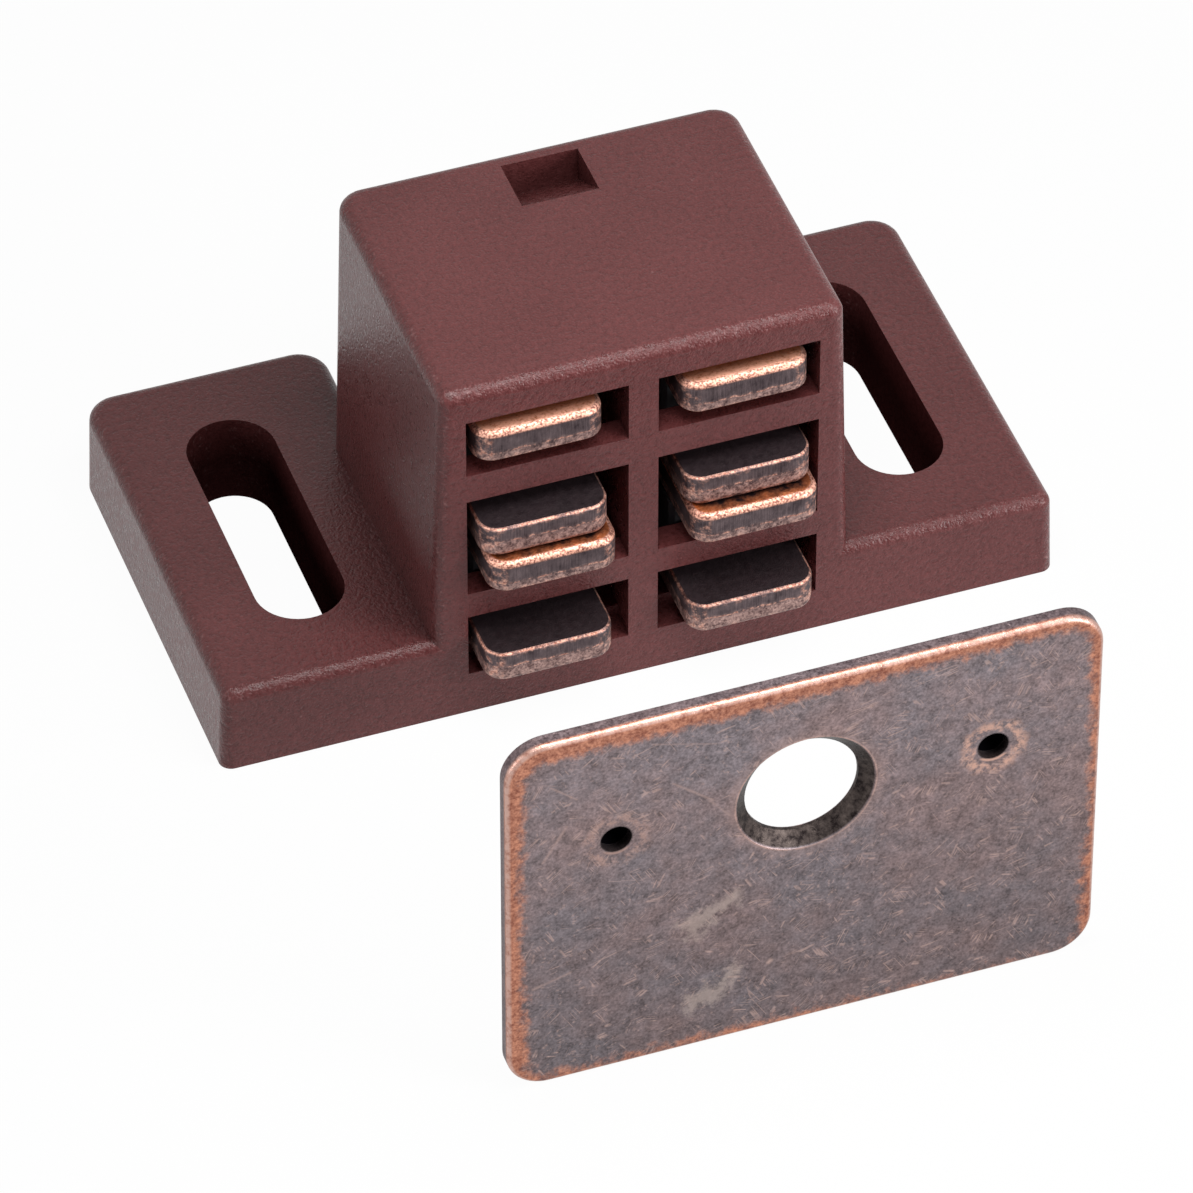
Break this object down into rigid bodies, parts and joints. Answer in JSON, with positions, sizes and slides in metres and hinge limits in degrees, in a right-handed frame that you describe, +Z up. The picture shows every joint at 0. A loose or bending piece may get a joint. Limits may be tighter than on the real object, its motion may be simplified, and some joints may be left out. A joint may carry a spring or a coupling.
{
  "type": "magnetic catch",
  "caption": "Magnetic cabinet catch: slotted plastic housing with floating magnet and pole plate units, and the steel strike plate that meets them.",
  "frame": {"origin": "centre of the housing's mounting face, midway between the two screw slots", "axes": "+Z up out of the mounting face; the poles look along -Y, towards the strike; +X along the housing"},
  "size_m": [0.06, 0.0666, 0.0302],
  "materials": {
    "brown_plastic": "moulded, fine satin grain",
    "antique_copper_pole": "copper plated, darkened and rubbed through at the edges",
    "antique_copper_strike": "copper plated, darkened and rubbed through at the edges",
    "ferrite": "sintered, matt"
  },
  "bodies": {
    "root": {"housing": "brown_plastic", "rear_cover": "brown_plastic"},
    "left_upper_unit": {"left_upper_magnet": "ferrite", "left_upper_top_pole": "antique_copper_pole", "left_upper_bottom_pole": "antique_copper_pole"},
    "left_lower_unit": {"left_lower_magnet": "ferrite", "left_lower_top_pole": "antique_copper_pole", "left_lower_bottom_pole": "antique_copper_pole"},
    "right_upper_unit": {"right_upper_magnet": "ferrite", "right_upper_top_pole": "antique_copper_pole", "right_upper_bottom_pole": "antique_copper_pole"},
    "right_lower_unit": {"right_lower_magnet": "ferrite", "right_lower_top_pole": "antique_copper_pole", "right_lower_bottom_pole": "antique_copper_pole"},
    "strike": {"strike_plate": "antique_copper_strike"}
  },
  "joints": [
    {"name": "left_upper_float", "type": "slide", "parent": "root", "child": "left_upper_unit", "axis": [0, -1, 0], "range_m": [-0.00025, 0.00176]},
    {"name": "left_lower_float", "type": "slide", "parent": "root", "child": "left_lower_unit", "axis": [0, -1, 0], "range_m": [-0.00202, 0.00028]},
    {"name": "right_upper_float", "type": "slide", "parent": "root", "child": "right_upper_unit", "axis": [0, -1, 0], "range_m": [-0.00025, 0.00188]},
    {"name": "right_lower_float", "type": "slide", "parent": "root", "child": "right_lower_unit", "axis": [0, -1, 0], "range_m": [-0.00204, 0.00026]},
    {"name": "strike_approach", "type": "slide", "parent": "root", "child": "strike", "axis": [0, 1, 0], "range_m": [0, 0.0302]}
  ]
}
